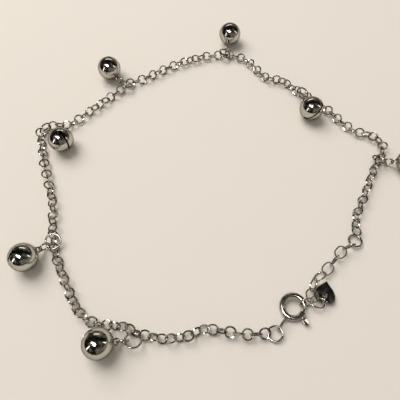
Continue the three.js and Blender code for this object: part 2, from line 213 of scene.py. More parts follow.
class AnkletBellSettings(bpy.types.PropertyGroup):
    radius: length("Radius", "Outside radius of a bell", 3.2)
    wall: length("Wall", "Thickness of a bell's sheet metal", 0.35)
    slit_width: length("Slit width", "Width of the slit across a bell's bottom", 0.45)
    slit_reach: FloatProperty(name="Slit reach", default=math.radians(60), subtype="ANGLE",
                              description="Angle from the bottom to the slit's round ends")
    slit_hole: length("Slit hole", "Diameter of the round hole at either end of the slit", 1.1)
    eye_radius: length("Eye radius", "Centre-line radius of the loop on top", 0.65)
    eye_wire: length("Eye wire", "Thickness of the loop's wire", 0.4)
    eye_rise: length("Eye rise", "Height of the loop's centre above the ball", 0.45)
    collar_radius: length("Collar radius", "Radius of the rolled lip round the loop's foot", 1.0)
    collar_wire: length("Collar thickness", "Thickness of the rolled lip", 0.22)
    edge: length("Edge rounding", "Rounding of the slit's edges", 0.05)


class AnkletClaspSettings(bpy.types.PropertyGroup):
    diameter: length("Diameter", "Outside diameter of the spring ring", 6.0)
    tube: length("Tube", "Thickness of the spring ring's tube", 1.25)
    bore: length("Bore", "Inside width of the spring ring's tube", 0.86)
    tongue: length("Tongue", "Thickness of the sliding tongue", 0.52)
    slot: length("Slot", "Height of the slot that the knob slides in", 0.66)
    loop_diameter: length("Loop width", "Outside width of the soldered loop", 2.0)
    loop_wire: length("Loop wire", "Thickness of the soldered loop's wire", 0.45)
    knob_reach: length("Knob reach", "Knob's centre beyond the tube's centre line", 1.5)
    knob_length: length("Knob length", "Length of the thumb knob", 1.7)
    knob_width: length("Knob width", "Width of the thumb knob", 1.05)
    knob_height: length("Knob height", "Height of the thumb knob", 0.66)


class AnkletFinishSettings(bpy.types.PropertyGroup):
    silver: colour("Silver", "Colour of clean polished silver", (0.56, 0.54, 0.49))
    tarnish: colour("Tarnish", "Colour of silver where it has dulled", (0.30, 0.28, 0.24))
    inside: colour("Inside", "Colour of the oxidised metal inside a bell", (0.10, 0.09, 0.08))
    rim: colour("Rim", "Tint of the metal where it is seen edge-on", (0.34, 0.33, 0.31))
    bell_polish: factor("Bell roughness", "Roughness of the polished bells", 0.10)
    wire_polish: factor("Wire roughness", "Roughness of rings and links", 0.16)
    edge: length("Tag edge rounding", "Rounding of the heart tag's edges", 0.09)


class AnkletStageSettings(bpy.types.PropertyGroup):
    floor: colour("Floor", "Colour of the surface that the anklet lies on", (0.80, 0.755, 0.685))
    floor_size: length("Floor size", "Side of the square floor", 1600)
    key_power: FloatProperty(name="Key power", description="Power of the large soft light",
                             default=13.1, min=0.0, unit="POWER")
    glint_power: FloatProperty(name="Glint power", default=1.2, min=0.0, unit="POWER",
                               description="Power of the window that the metal shows")
    fill: FloatProperty(name="Fill", description="Light that the room gives the surface",
                        default=0.30, min=0.0)
    room: FloatProperty(name="Room", description="How bright the room looks in the metal",
                        default=0.09, min=0.0)
    camera_angle: FloatProperty(name="Camera angle", description="Field of view", subtype="ANGLE",
                                default=math.radians(53.7))


# ---- Places ----------------------------------------------------------------------------------
def mm(value):
    """A setting in metres, as millimetres for modelling."""
    return value / MM


def heading(degrees):
    return Vector((math.cos(math.radians(degrees)), math.sin(math.radians(degrees)), 0))


def place(centre, along, normal):
    """Matrix that takes a shape in millimetres to a layout place, in metres in the frame."""
    normal = normal.normalized()
    side = normal.cross(along).normalized()
    along = side.cross(normal)
    turn = Matrix((along, side, normal)).transposed().to_4x4()
    return Matrix.Scale(MM, 4) @ Matrix.Translation(centre - LAYOUT_CENTRE) @ turn


def along_route(points, steps_between=24):
    """A smooth uniform Catmull-Rom line through the points, as a dense list."""
    ends = [2 * points[0] - points[1], *points, 2 * points[-1] - points[-2]]
    line = []
    for a, b, c, d in zip(ends, ends[1:], ends[2:], ends[3:]):
        for step in range(steps_between):
            t = step / steps_between
            pull = (c - a) * t + (2 * a - 5 * b + 4 * c - d) * t ** 2
            pull += (3 * b - a - 3 * c + d) * t ** 3
            line.append(b + pull / 2)
    line.append(points[-1])
    return line


class Route:
    """A line that is measured by its length."""

    def __init__(self, points):
        self.line = along_route(points)
        self.marks = [0.0]
        for a, b in zip(self.line, self.line[1:]):
            self.marks.append(self.marks[-1] + (b - a).length)
        self.length = self.marks[-1]

    def at(self, distance):
        distance = min(max(distance, 0.0), self.length)
        i = 0
        while i < len(self.marks) - 2 and self.marks[i + 1] < distance:
            i += 1
        t = (distance - self.marks[i]) / (self.marks[i + 1] - self.marks[i])
        return self.line[i].lerp(self.line[i + 1], t)

    def way(self, distance, reach=0.6):
        return (self.at(distance + reach) - self.at(distance - reach)).normalized()


# ---- Modelling by operators ------------------------------------------------------------------
def deselect():
    if bpy.context.object and bpy.context.object.mode != "OBJECT":
        bpy.ops.object.mode_set(mode="OBJECT")
    bpy.ops.object.select_all(action="DESELECT")


def activate(*objects):
    deselect()
    for item in objects:
        item.select_set(True)
    bpy.context.view_layer.objects.active = objects[0]


def edit(item, mode="VERT"):
    activate(item)
    bpy.ops.object.mode_set(mode="EDIT")
    bpy.ops.mesh.select_mode(type=mode)
    bpy.ops.mesh.select_all(action="SELECT")


def leave_edit():
    bpy.ops.object.mode_set(mode="OBJECT")


def select_faces(item, test):
    """In edit mode, selects only the faces whose middle and normal pass a test."""
    bpy.ops.mesh.select_all(action="DESELECT")
    shape = bmesh.from_edit_mesh(item.data)
    for face in shape.faces:
        face.select_set(test(face.calc_center_median(), face.normal))
    bmesh.update_edit_mesh(item.data)


def select_points(item, test):
    """In edit mode, selects only the points whose position passes a test."""
    bpy.ops.mesh.select_all(action="DESELECT")
    shape = bmesh.from_edit_mesh(item.data)
    for point in shape.verts:
        point.select_set(test(point.co))
    shape.select_flush_mode()
    bmesh.update_edit_mesh(item.data)


def apply_place(item):
    activate(item)
    bpy.ops.object.transform_apply(location=True, rotation=True, scale=True)


def modifier(item, kind, **values):
    activate(item)
    added = item.modifiers.new(kind.title(), kind)
    for key, value in values.items():
        setattr(added, key, value)
    bpy.ops.object.modifier_apply(modifier=added.name)


def cut_away(item, cutter):
    modifier(item, "BOOLEAN", object=cutter, operation="DIFFERENCE", solver="EXACT")
    activate(cutter)
    bpy.ops.object.delete()


def smooth(item):
    activate(item)
    bpy.ops.object.shade_smooth_by_angle(angle=math.radians(SMOOTH_ANGLE))


def copy_of(item):
    twin = item.copy()
    twin.data = item.data.copy()
    bpy.context.collection.objects.link(twin)
    return twin


def join(items):
    activate(*items)
    if len(items) > 1:
        bpy.ops.object.join()
    return bpy.context.view_layer.objects.active


def discard(*items):
    activate(*items)
    bpy.ops.object.delete()


def placed(item, matrix):
    item.matrix_world = matrix
    apply_place(item)
    return item


def finish_piece(item, name, body, slot, *nodes):
    """Names a piece, and says its body and the CAD nodes that it stands for; the slot argument is not
    used.
    """
    item.name = name
    item.data.name = name
    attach(item, body)
    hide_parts(*nodes)
    return item


# ---- Shared shapes, in millimetres -----------------------------------------------------------
def wire_ring(diameter, wire, stretch=0.0, around=48, sides=12):
    """A closed ring of wire in the XY plane; `stretch` parts its halves along X to an oval."""
    deselect()
    bpy.ops.mesh.primitive_torus_add(major_segments=around, minor_segments=sides,
                                     major_radius=(diameter - wire) / 2, minor_radius=wire / 2)
    ring = bpy.context.object
    if stretch:
        middle = wire / 100
        edit(ring)
        for side in (-1, 1):
            select_points(ring, lambda co: side * co.x > middle)
            bpy.ops.transform.translate(value=(side * stretch / 2, 0, 0))
        leave_edit()
    smooth(ring)
    return ring


def arc_rod(radius, width, span, steps, sides=16):
    """A rod of round section bent about the Z axis from one angle to another, ends closed."""
    deselect()
    bpy.ops.mesh.primitive_circle_add(vertices=sides, radius=width / 2, location=(radius, 0, 0),
                                      rotation=(math.radians(90), 0, 0))
    rod = bpy.context.object
    apply_place(rod)
    bend(rod, span, steps)
    edit(rod)
    bpy.ops.mesh.fill_holes(sides=0)
    bpy.ops.mesh.select_all(action="SELECT")
    bpy.ops.mesh.normals_make_consistent(inside=False)
    leave_edit()
    return rod


def bend(section, span, steps):
    """Spins an open section about the Z axis, from span's first angle to its second.

    The operator turns clockwise about its axis, so the axis points down."""
    edit(section)
    angle = math.radians(span[1] - span[0])
    bpy.ops.mesh.spin(steps=steps, angle=angle, center=(0, 0, 0), axis=(0, 0, -1))
    leave_edit()
    section.rotation_euler = (0, 0, math.radians(span[0]))
    apply_place(section)


def jump_ring(diameter, wire, cut):
    """A bent wire ring whose two square-cut ends nearly meet."""
    half = math.degrees(cut) / 2
    ring = arc_rod((diameter - wire) / 2, wire, (half, 360 - half), 54, sides=14)
    modifier(ring, "BEVEL", width=CUT_END_ROUNDING, segments=2, limit_method="ANGLE",
             angle_limit=math.radians(60))
    smooth(ring)
    return ring


def cut_turned(degrees):
    """Turns a ring about its own axis, so its cut comes where it should."""
    return Matrix.Rotation(math.radians(degrees), 4, "Z")


# ---- Materials -------------------------------------------------------------------------------
def node(tree, kind, **values):
    added = tree.nodes.new(kind)
    for key, value in values.items():
        setattr(added, key, value)
    return added


def noise(tree, vector, scale, detail):
    """A noise pattern that reads a vector."""
    added = node(tree, "ShaderNodeTexNoise")
    added.inputs["Scale"].default_value = scale
    added.inputs["Detail"].default_value = detail
    tree.links.new(vector, added.inputs["Vector"])
    return added


def silver_material(name, clean, dull, roughness, wear, scratch):
    """Polished silver: dulled patches, wiping marks that vary the gloss, and fine scratches."""
    material = bpy.data.materials.new(name)
    material.use_nodes = True
    tree = material.node_tree
    shader = tree.nodes["Principled BSDF"]
    shader.inputs["Metallic"].default_value = 1.0
    rim = bpy.context.scene.anklet_finish.rim
    shader.inputs["Specular Tint"].default_value = (*rim, 1)
    where = node(tree, "ShaderNodeTexCoord").outputs["Object"]

    patches = noise(tree, where, 420, 5)
    patches.inputs["Roughness"].default_value = 0.6
    tint = node(tree, "ShaderNodeValToRGB")
    tint.color_ramp.elements[0].position = 0.30
    tint.color_ramp.elements[0].color = [*(c + (d - c) * wear for c, d in zip(clean, dull)), 1]
    tint.color_ramp.elements[1].position = 0.58
    tint.color_ramp.elements[1].color = [*clean, 1]
    tree.links.new(patches.outputs["Fac"], tint.inputs["Fac"])
    tree.links.new(tint.outputs["Color"], shader.inputs["Base Color"])

    wiping = noise(tree, where, 900, 4)
    gloss = node(tree, "ShaderNodeMapRange")
    gloss.inputs["From Min"].default_value = 0.3
    gloss.inputs["From Max"].default_value = 0.7
    gloss.inputs["To Min"].default_value = roughness * 0.7
    gloss.inputs["To Max"].default_value = roughness * 1.7
    tree.links.new(wiping.outputs["Fac"], gloss.inputs["Value"])
    tree.links.new(gloss.outputs["Result"], shader.inputs["Roughness"])

    stretch = node(tree, "ShaderNodeMapping")
    stretch.inputs["Rotation"].default_value = (0.5, 0.3, 0.9)
    stretch.inputs["Scale"].default_value = (1, 9, 4)
    tree.links.new(where, stretch.inputs["Vector"])
    scratches = noise(tree, stretch.outputs["Vector"], 1500, 3)
    relief = node(tree, "ShaderNodeBump")
    relief.inputs["Strength"].default_value = scratch
    relief.inputs["Distance"].default_value = SCRATCH_DEPTH
    tree.links.new(scratches.outputs["Fac"], relief.inputs["Height"])
    tree.links.new(relief.outputs["Normal"], shader.inputs["Normal"])
    return material


def finish_of(kind):
    """The finish of one kind of piece, made once."""
    if kind in bpy.data.materials:
        return bpy.data.materials[kind]
    finish = bpy.context.scene.anklet_finish
    if kind == "bell_inside":
        return silver_material(kind, tuple(finish.inside), INSIDE_DULL, INSIDE_ROUGHNESS,
                               INSIDE_WEAR, INSIDE_SCRATCH)
    look = FINISHES[kind]
    roughness = getattr(finish, look["setting"]) * look["multiple"]
    return silver_material(kind, tuple(finish.silver), tuple(finish.tarnish), roughness,
                           look["wear"], look["scratch"])


def give_finish(item, *kinds):
    item.data.materials.clear()
    for kind in kinds:
        item.data.materials.append(finish_of(kind))


# ---- Where the rings lie ---------------------------------------------------------------------
def bell_places(rings, bell, spot):
    """Matrices for one bell, its small link and its jump ring.

    "threading" is the way the jump ring's wire runs through the chain link that carries it."""
    outward = heading(spot["heading"])
    rise = math.radians(JUMP_RING_RISE)
    lean = heading(spot["heading"] + spot["lean"]) * math.cos(rise) + UP * math.sin(rise)
    ring_normal = lean.cross(UP.cross(lean).normalized())
    jump_wire = mm(rings.jump_wire)
    link_wire = mm(rings.link_wire)
    jump_radius = (mm(rings.jump_diameter) - jump_wire) / 2
    link_radius = (mm(rings.link_diameter) - link_wire) / 2
    ring_centre = Vector((spot["x"], spot["y"], CHAIN_HEIGHT)) + lean * jump_radius
    to_bell = (outward - ring_normal * outward.dot(ring_normal)).normalized()
    held = ring_centre + to_bell * jump_radius
    hang = link_radius - (jump_wire + link_wire) / 2 - PLAY
    drop = math.asin((BELL_LINK_HEIGHT - held.z) / hang)
    link_centre = held + outward * hang * math.cos(drop)
    link_centre.z = BELL_LINK_HEIGHT

    radius = mm(bell.radius)
    eye_height = radius + mm(bell.eye_rise)
    eye_hang = link_radius - (mm(bell.eye_wire) + link_wire) / 2 - PLAY
    reach = eye_hang + mm(bell.eye_radius) + eye_height
    tilt = math.asin((radius - BELL_LINK_HEIGHT) / reach)
    centre = link_centre + outward * reach * math.cos(tilt)
    centre.z = radius
    axis = -outward * math.cos(tilt) - UP * math.sin(tilt)
    return {
        "bell": place(centre, UP.cross(outward), axis),
        "link": place(link_centre, outward, outward.cross(UP)),
        "ring": place(ring_centre, lean, ring_normal),
        "threading": UP.cross(lean).normalized(),
    }


def end_rings(rings, clasp):
    """Centres and matrices of the rings at the chain's two ends, and where the chains meet them."""
    wire = mm(rings.end_wire)
    radius = (mm(rings.end_diameter) - wire) / 2
    loop_wire = mm(clasp.loop_wire)
    loop_end = LOOP_REACH + (mm(clasp.loop_diameter) - loop_wire + LOOP_STRETCH) / 2
    held = loop_end - (loop_wire + wire) / 2 - PLAY
    outward = heading(LOOP_HEADING)
    sink = math.radians(END_RING_SINK)
    along = outward * math.cos(sink) - UP * math.sin(sink)
    centre = CLASP_CENTRE + outward * (held + radius)
    centre.z = END_RING_HEIGHT
    return {
        "clasp": place(centre, along, along.cross(heading(LOOP_HEADING + 90))),
        "tail": place(TAIL_RING_CENTRE, heading(CHAIN_FINISH_HEADING), TAIL_RING_NORMAL),
        "start": centre + heading(CHAIN_START_HEADING) * radius,
        "finish": TAIL_RING_CENTRE + heading(CHAIN_FINISH_HEADING) * radius,
        "tail_start": TAIL_RING_CENTRE + heading(TAIL_START_HEADING) * radius,
    }


def tail_places(chain, rings, clasp):
    """Matrices of the tail's two end links and the tag's ring, and where the tail joins them."""
    wire = mm(chain.tail_wire)
    half = (mm(chain.tail_diameter) - wire + mm(chain.tail_stretch)) / 2
    grip = wire + 2 * PLAY
    across = heading(CLASPED_HEADING)
    tilt = math.radians(CLASPED_TILT)
    normal = heading(CLASPED_HEADING + 90) * math.cos(tilt) - UP * math.sin(tilt)
    clasped = CLASP_CENTRE + across * ((mm(clasp.diameter) - mm(clasp.tube)) / 2 + CLASPED_OFFSET)
    clasped.z = TAIL_LINK_HEIGHT
    clasped_end = clasped + across * half
    way = heading(LAST_LINK_HEADING)
    last = clasped_end + way * (half - grip)
    last.z = TAIL_LINK_HEIGHT
    tag_radius = (mm(rings.tag_diameter) - mm(rings.tag_wire)) / 2
    tag_way = heading(TAG_HEADING)
    tag_centre = last + way * (half - grip) + tag_way * tag_radius
    tag_centre.z = TAG_RING_HEIGHT
    return {
        "clasped": place(clasped, across, normal),
        "last": place(last, way, LAST_LINK_NORMAL),
        "tag": place(tag_centre, tag_way, tag_way.cross(UP)),
        "clasped_end": clasped_end,
    }


# ---- Chains ----------------------------------------------------------------------------------
def drift_at(chain, distance):
    """How far the left-and-right pattern is twisted at a distance along the whole chain."""
    turns = 2 * math.pi * distance / mm(chain.drift_length)
    slower = SECOND_WAVE_RATE * turns + SECOND_WAVE_START
    return chain.drift * (FIRST_WAVE * math.sin(turns) + SECOND_WAVE * math.sin(slower))


def link_matrix(route, distance, roll, height):
    """Place of a link that lies along the route, rolled about it."""
    way = route.way(distance)
    side = UP.cross(way).normalized()
    across = side * math.cos(roll) + UP * math.sin(roll)
    centre = route.at(distance)
    centre.z = height
    return place(centre, way, way.cross(across))


def lay_links(template, route, start, finish, count, first_side, chain, size, draw, before=0.0):
    """Links from one distance to another along a route, rolled left and right by turns."""
    items = []
    for i in range(count):
        distance = start + (finish - start) * i / max(1, count - 1)
        side = first_side if i % 2 == 0 else -first_side
        twist = drift_at(chain, before + distance)
        roll = side * chain.roll + twist + draw.uniform(-1, 1) * chain.looseness
        height = link_height(*size, chain, twist)
        twin = copy_of(template)
        twin.matrix_world = link_matrix(route, distance, roll, height)
        items.append(twin)
    run = join(items)
    apply_place(run)
    return run


def link_height(diameter, wire, chain, twist):
    """Centre height at which the steeper of two neighbouring links just clears the surface."""
    steepest = math.sin(min(chain.roll + abs(twist) + chain.looseness, math.pi / 2))
    return (diameter - wire) / 2 * steepest + wire / 2


class ANKLET_OT_chain(bpy.types.Operator):
    """Build the round links of the eight stretches of chain"""
    bl_idname = "anklet.chain"
    bl_label = "Chain links"

    def execute(self, context):
        scene = context.scene
        chain = scene.anklet_chain
        diameter = mm(chain.link_diameter)
        wire = mm(chain.link_wire)
        pitch = diameter - 2 * wire
        template = wire_ring(diameter, wire, around=14, sides=5)
        give_finish(template, "chain_worn")
        ends = end_rings(scene.anklet_rings, scene.anklet_clasp)
        stops = [ends["start"]] + [Vector((b["x"], b["y"], 0)) for b in BELLS] + [ends["finish"]]
        to_ring = (diameter - wire) / 2 - (wire + mm(scene.anklet_rings.end_wire)) / 2
        draw = random.Random(chain.seed)
        side = self.side_at(scene, 0)
        before = 0.0
        for i, via in enumerate(VIA):
            points = [stops[i]] + [Vector((*p, 0)) for p in via] + [stops[i + 1]]
            route = Route([Vector((p.x, p.y, 0)) for p in points])
            last_run = i == len(VIA) - 1
            start = to_ring if i == 0 else 0.0
            finish = route.length - (to_ring if last_run else 0.0)
            gaps = math.ceil((finish - start) / pitch)
            next_side = side * (-1) ** gaps
            if not last_run and i > 0 and next_side != self.side_at(scene, i):
                gaps += 1
            if i == 0:
                side = self.side_at(scene, 0) * (-1) ** gaps
            step = (finish - start) / gaps
            count = gaps + 1 if last_run else gaps
            last = start + step * (count - 1)
            size = (diameter, wire)
            run = lay_links(template, route, start, last, count, side, chain, size, draw, before)
            before += route.length
            finish_piece(run, f"chain_links_{i + 1}", BODY, "chain_silver", f"chain_run_{i + 1}")
            side = side * (-1) ** gaps
        discard(template)
        return {"FINISHED"}

    @staticmethod
    def side_at(scene, number):
        """The roll that lets the jump ring's wire pass square through the link that carries it."""
        spot = BELLS[number]
        wire_way = bell_places(scene.anklet_rings, scene.anklet_bell, spot)["threading"]
        here = Vector((spot["x"], spot["y"], 0))
        way = (Vector((*VIA[number + 1][0], 0)) - here).normalized()
        side = UP.cross(way).normalized()
        roll = scene.anklet_chain.roll
        square = {}
        for sign in (-1, 1):
            across = side * math.cos(sign * roll) + UP * math.sin(sign * roll)
            square[sign] = abs(way.cross(across).dot(wire_way))
        return 1 if square[1] >= square[-1] else -1


class ANKLET_OT_tail(bpy.types.Operator):
    """Build the tail's oval links and the two links at its end"""
    bl_idname = "anklet.tail"
    bl_label = "Tail links"

    def execute(self, context):
        scene = context.scene
        chain = scene.anklet_chain
        rings = scene.anklet_rings
        diameter = mm(chain.tail_diameter)
        wire = mm(chain.tail_wire)
        stretch = mm(chain.tail_stretch)
        template = wire_ring(diameter, wire, stretch, around=20, sides=6)
        give_finish(template, "chain_worn")
        places = tail_places(chain, rings, scene.anklet_clasp)
        ends = end_rings(rings, scene.anklet_clasp)
        stops = [ends["tail_start"]] + [Vector((*p, 0)) for p in TAIL_VIA] + [places["clasped_end"]]
        route = Route([Vector((p.x, p.y, 0)) for p in stops])
        half = (diameter - wire + stretch) / 2
        start = half - (wire + mm(rings.end_wire)) / 2
        finish = route.length - (half - wire - PLAY)
        count = math.ceil((finish - start) / (diameter + stretch - 2 * wire)) + 1
        draw = random.Random(chain.seed + 1)
        links = lay_links(template, route, start, finish, count, 1, chain, (diameter, wire), draw)
        finish_piece(links, "tail_links", BODY, "chain_silver", "tail_chain")
        discard(template)
        for name in ("clasped", "last"):
            link = wire_ring(diameter, wire, stretch)
            give_finish(link, "ring_drawn")
            placed(link, places[name])
            finish_piece(link, f"tail_oval_{name}", BODY, "ring_silver", f"tail_link_{name}")
        return {"FINISHED"}


# ---- Rings -----------------------------------------------------------------------------------
class ANKLET_OT_rings(bpy.types.Operator):
    """Build the jump rings, the bells' small links and the rings at the ends"""
    bl_idname = "anklet.rings"
    bl_label = "Rings"

    def execute(self, context):
        scene = context.scene
        rings = scene.anklet_rings
        jump = jump_ring(mm(rings.jump_diameter), mm(rings.jump_wire), rings.cut)
        link = wire_ring(mm(rings.link_diameter), mm(rings.link_wire))
        for item in (jump, link):
            give_finish(item, "ring_drawn")
        for number, spot in enumerate(BELLS, start=1):
            places = bell_places(rings, scene.anklet_bell, spot)
            ring = placed(copy_of(jump), places["ring"] @ cut_turned(JUMP_CUT_TURN))
            finish_piece(ring, f"jump_ring_{number}", BODY, "ring_silver", f"bell_ring_{number}")
            small = placed(copy_of(link), places["link"])
            finish_piece(small, f"small_ring_{number}", BODY, "ring_silver", f"bell_link_{number}")
        discard(jump, link)

        ends = end_rings(rings, scene.anklet_clasp)
        for name in ("clasp", "tail"):
            ring = jump_ring(mm(rings.end_diameter), mm(rings.end_wire), rings.cut)
            give_finish(ring, "ring_drawn")
            placed(ring, ends[name] @ cut_turned(END_CUT_TURN))
            finish_piece(ring, f"end_ring_at_{name}", BODY, "ring_silver", f"end_ring_{name}")
        places = tail_places(scene.anklet_chain, rings, scene.anklet_clasp)
        ring = jump_ring(mm(rings.tag_diameter), mm(rings.tag_wire), rings.cut)
        give_finish(ring, "ring_drawn")
        placed(ring, places["tag"] @ cut_turned(TAG_CUT_TURN))
        finish_piece(ring, "tag_jump_ring", BODY, "ring_silver", "tag_ring")
        return {"FINISHED"}


# ---- Bells -----------------------------------------------------------------------------------
def bell_shell(bell):
    """A hollow ball in millimetres with a slit across its bottom that ends in two round holes."""
    radius = mm(bell.radius)
    wall = mm(bell.wall)
    deselect()
    bpy.ops.mesh.primitive_uv_sphere_add(segments=72, ring_count=36, radius=radius)
    shell = bpy.context.object
    shell.data.materials.append(finish_of("bell_polished"))
    shell.data.materials.append(finish_of("bell_inside"))
    modifier(shell, "SOLIDIFY", thickness=wall, offset=-1, material_offset=1)

    slit_reach = radius * math.sin(bell.slit_reach)
    slit_top = -radius * math.cos(bell.slit_reach)
    depth = radius + slit_top + SLIT_CUTTER_EXTRA
    deselect()
    bpy.ops.mesh.primitive_cube_add(size=1, location=(0, 0, slit_top - depth / 2))
    slit = bpy.context.object
    slit.scale = (2 * slit_reach, mm(bell.slit_width), depth)
    apply_place(slit)
    cut_away(shell, slit)
    for side in (-1, 1):
        deselect()
        bpy.ops.mesh.primitive_cylinder_add(vertices=32, radius=mm(bell.slit_hole) / 2, depth=4 * wall,
                                            location=(0, 0, -radius + wall / 2))
        hole = bpy.context.object
        apply_place(hole)
        hole.rotation_euler = (0, side * bell.slit_reach, 0)
        apply_place(hole)
        cut_away(shell, hole)
    modifier(shell, "BEVEL", width=mm(bell.edge), segments=2, limit_method="ANGLE",
             angle_limit=math.radians(45))
    return shell


def bell_top(bell):
    """The wire loop on top, and the rolled lip round its foot."""
    radius = mm(bell.radius)
    wire = mm(bell.eye_wire)
    eye = wire_ring(2 * mm(bell.eye_radius) + wire, wire, around=32, sides=10)
    eye.rotation_euler = (math.radians(90), 0, 0)
    eye.location = (0, 0, radius + mm(bell.eye_rise))
    apply_place(eye)
    lip_radius = mm(bell.collar_radius)
    lip_wire = mm(bell.collar_wire)
    lip = wire_ring(2 * lip_radius + lip_wire, lip_wire, around=40, sides=8)
    lip.location = (0, 0, math.sqrt(radius ** 2 - lip_radius ** 2))
    apply_place(lip)
    top = join([eye, lip])
    give_finish(top, "bell_polished")
    return top


class ANKLET_OT_bells(bpy.types.Operator):
    """Build the seven hollow bells"""
    bl_idname = "anklet.bells"
    bl_label = "Bells"

    def execute(self, context):
        scene = context.scene
        shell = bell_shell(scene.anklet_bell)
        top = bell_top(scene.anklet_bell)
        for number, spot in enumerate(BELLS, start=1):
            ball = copy_of(shell)
            ball.rotation_euler = (0, 0, math.radians(spot["turn"]))
            apply_place(ball)
            bell = join([ball, copy_of(top)])
            smooth(bell)
            placed(bell, bell_places(scene.anklet_rings, scene.anklet_bell, spot)["bell"])
            finish_piece(bell, f"slit_bell_{number}", BODY, "bell_silver", f"bell_{number}")
        discard(shell, top)
        return {"FINISHED"}


# ---- Clasp -----------------------------------------------------------------------------------
def clasp_matrix():
    """The clasp's own frame, with one side lifted off the surface."""
    axis = heading(CLASP_LIFT_HEADING).cross(UP)
    turn = Matrix.Rotation(math.radians(CLASP_LIFT), 4, axis)
    return Matrix.Scale(MM, 4) @ Matrix.Translation(CLASP_CENTRE - LAYOUT_CENTRE) @ turn


def clasp_tube(clasp):
    """The bored tube, open where the tongue crosses and slotted where the knob slides."""
    width = mm(clasp.tube)
    radius = (mm(clasp.diameter) - width) / 2
    span = (CLASP_OPENING[1], CLASP_OPENING[0] + 360)
    deselect()
    bpy.ops.mesh.primitive_circle_add(vertices=24, radius=width / 2, location=(radius, 0, 0),
                                      rotation=(math.radians(90), 0, 0))
    tube = bpy.context.object
    apply_place(tube)
    bend(tube, span, 72)
    edit(tube)
    bpy.ops.mesh.normals_make_consistent(inside=False)
    leave_edit()
    modifier(tube, "SOLIDIFY", thickness=(width - mm(clasp.bore)) / 2, offset=-1)

    deselect()
    bpy.ops.mesh.primitive_plane_add(size=1, location=(radius + width / 2, 0, 0),
                                     rotation=(math.radians(90), 0, 0))
    slot = bpy.context.object
    slot.scale = (width / 2, mm(clasp.slot), 1)
    apply_place(slot)
    edit(slot, "FACE")
    bpy.ops.mesh.delete(type="ONLY_FACE")
    leave_edit()
    bend(slot, (KNOB_ANGLE - KNOB_TRAVEL - SLOT_MARGIN, KNOB_ANGLE + SLOT_MARGIN), 16)
    edit(slot)
    bpy.ops.mesh.fill_holes(sides=0)
    bpy.ops.mesh.select_all(action="SELECT")
    bpy.ops.mesh.normals_make_consistent(inside=False)
    leave_edit()
    cut_away(tube, slot)
    modifier(tube, "BEVEL", width=TUBE_EDGE_ROUNDING, segments=2, limit_method="ANGLE",
             angle_limit=math.radians(50))
    return tube


class ANKLET_OT_clasp(bpy.types.Operator):
    """Build the spring ring's tube with its soldered loop"""
    bl_idname = "anklet.clasp"
    bl_label = "Clasp"

    def execute(self, context):
        clasp = context.scene.anklet_clasp
        tube = placed(clasp_tube(clasp), clasp_matrix())
        loop = wire_ring(mm(clasp.loop_diameter), mm(clasp.loop_wire), LOOP_STRETCH)
        centre = CLASP_CENTRE + heading(LOOP_HEADING) * LOOP_REACH
        centre.z = LOOP_HEIGHT
        placed(loop, place(centre, heading(LOOP_HEADING), heading(LOOP_HEADING + 90)))
        body = join([tube, loop])
        give_finish(body, "clasp_polished")
        smooth(body)
        finish_piece(body, "spring_ring", BODY, "clasp_silver", "clasp_body")
        return {"FINISHED"}


class ANKLET_OT_trigger(bpy.types.Operator):
    """Build the clasp's sliding tongue with its pin and dished knob"""
    bl_idname = "anklet.trigger"
    bl_label = "Clasp trigger"

    def execute(self, context):
        clasp = context.scene.anklet_clasp
        radius = (mm(clasp.diameter) - mm(clasp.tube)) / 2
        width = mm(clasp.tongue)
        tongue = arc_rod(radius, width, TONGUE_SPAN, 24)
        modifier(tongue, "BEVEL", width=width * 0.3, segments=3, limit_method="ANGLE",
                 angle_limit=math.radians(60))
        reach = mm(clasp.knob_reach)
        deselect()
        bpy.ops.mesh.primitive_cylinder_add(vertices=16, radius=PIN_RADIUS, depth=reach,
                                            location=(radius + reach / 2, 0, 0),
                                            rotation=(0, math.radians(90), 0))
        pin = bpy.context.object
        apply_place(pin)

        deselect()
        bpy.ops.mesh.primitive_cylinder_add(vertices=40, radius=0.5, depth=1,
                                            location=(radius + reach, 0, 0))
        knob = bpy.context.object
        knob.scale = (mm(clasp.knob_length), mm(clasp.knob_width), mm(clasp.knob_height))
        apply_place(knob)
        edit(knob, "FACE")
        select_faces(knob, lambda middle, normal: normal.z > 0.9)
        bpy.ops.mesh.inset(thickness=KNOB_RIM)
        bpy.ops.mesh.inset(thickness=KNOB_STEP)
        bpy.ops.transform.translate(value=(0, 0, -KNOB_DISH))
        leave_edit()
        modifier(knob, "BEVEL", width=KNOB_EDGE_ROUNDING, segments=3, limit_method="ANGLE",
                 angle_limit=math.radians(50))
        for item in (pin, knob):
            item.rotation_euler = (0, 0, math.radians(KNOB_ANGLE))
            apply_place(item)
        trigger = join([tongue, pin, knob])
        give_finish(trigger, "clasp_polished")
        smooth(trigger)
        placed(trigger, clasp_matrix())
        finish_piece(trigger, "spring_ring_trigger", TRIGGER_BODY, "clasp_silver", "clasp_trigger")
        return {"FINISHED"}


# ---- Tag -------------------------------------------------------------------------------------
class ANKLET_OT_tag(bpy.types.Operator):
    """Build the plain heart tag with rounded edges"""
    bl_idname = "anklet.tag"
    bl_label = "Heart tag"

    def execute(self, context):
        tag = copy_of(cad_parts["heart_tag"])
        tag.parent = None
        tag.matrix_world = Matrix.Identity(4)
        tag.data.transform(Matrix.Scale(1 / MM, 4))
        edit(tag)
        bpy.ops.mesh.remove_doubles(threshold=WELD_DISTANCE)
        bpy.ops.mesh.dissolve_limited(angle_limit=math.radians(1))
        leave_edit()
        modifier(tag, "BEVEL", width=mm(context.scene.anklet_finish.edge), segments=3,
                 limit_method="ANGLE", angle_limit=math.radians(60))
        give_finish(tag, "tag_flat")
        smooth(tag)
        placed(tag, Matrix.Scale(MM, 4))
        finish_piece(tag, "heart_plate", BODY, "tag_silver", "heart_tag")
        return {"FINISHED"}


